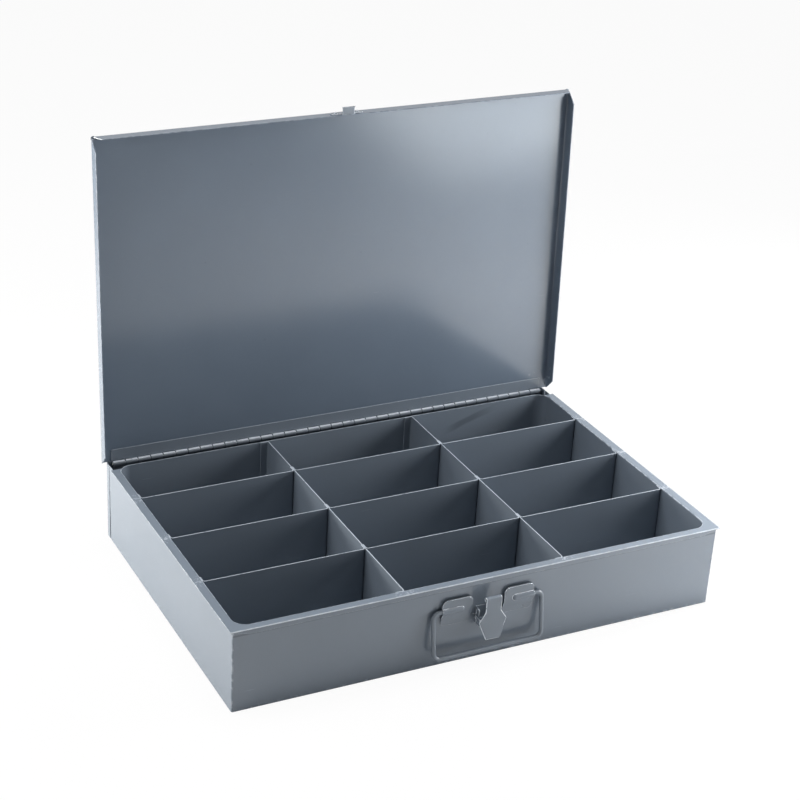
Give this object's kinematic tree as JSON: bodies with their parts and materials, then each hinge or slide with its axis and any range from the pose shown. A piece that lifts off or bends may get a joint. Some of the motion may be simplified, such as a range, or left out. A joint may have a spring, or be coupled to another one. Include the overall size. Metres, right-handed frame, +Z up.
{
  "type": "compartment organizer box",
  "caption": "Low sheet-steel case with a divided tray of small-parts compartments, a piano-hinged lid, a wire bail handle and a pull-down catch at the front.",
  "frame": {"origin": "middle of the case's flat base, on the surface it stands on", "axes": "+X to the right seen from the front, +Y to the hinge at the rear, +Z up; the lid is open at rest"},
  "size_m": [0.4628, 0.3281, 0.3845],
  "materials": {
    "grey_paint": "semi-gloss baked enamel",
    "hardware_paint": "semi-gloss baked enamel",
    "pin_steel": "plain drawn wire"
  },
  "bodies": {
    "case": {"outer_shell": "grey_paint", "rear_panel": "grey_paint", "inner_tray": "grey_paint", "long_divider_left": "grey_paint", "long_divider_right": "grey_paint", "cross_divider_left_front": "grey_paint", "cross_divider_left_centre": "grey_paint", "cross_divider_left_rear": "grey_paint", "cross_divider_middle_front": "grey_paint", "cross_divider_middle_centre": "grey_paint", "cross_divider_middle_rear": "grey_paint", "cross_divider_right_front": "grey_paint", "cross_divider_right_centre": "grey_paint", "cross_divider_right_rear": "grey_paint", "hinge_leaf_case": "grey_paint", "hinge_pin": "pin_steel", "handle_plate": "hardware_paint"},
    "lid": {"lid": "grey_paint", "hinge_leaf_lid": "grey_paint", "strike": "hardware_paint", "strike_rivets": "hardware_paint"},
    "bail": {"bail_handle": "hardware_paint"},
    "catch_pin": {"catch_pin": "hardware_paint"},
    "catch": {"catch": "hardware_paint"}
  },
  "joints": [
    {"name": "lid_hinge", "type": "hinge", "parent": "case", "child": "lid", "pos_m": [0, 0.1478, 0.074], "axis": [1, 0, 0], "range_deg": [0, 92]},
    {"name": "bail_hinge", "type": "hinge", "parent": "case", "child": "bail", "pos_m": [0, -0.1538, 0.0525], "axis": [-1, 0, 0], "range_deg": [-7, 148]},
    {"name": "catch_slide", "type": "slide", "parent": "case", "child": "catch_pin", "axis": [0, 0, 1], "range_m": [0, 0.008]},
    {"name": "catch_tilt", "type": "hinge", "parent": "catch_pin", "child": "catch", "pos_m": [0, -0.156, 0.04], "axis": [1, 0, 0], "range_deg": [0, 35]}
  ]
}
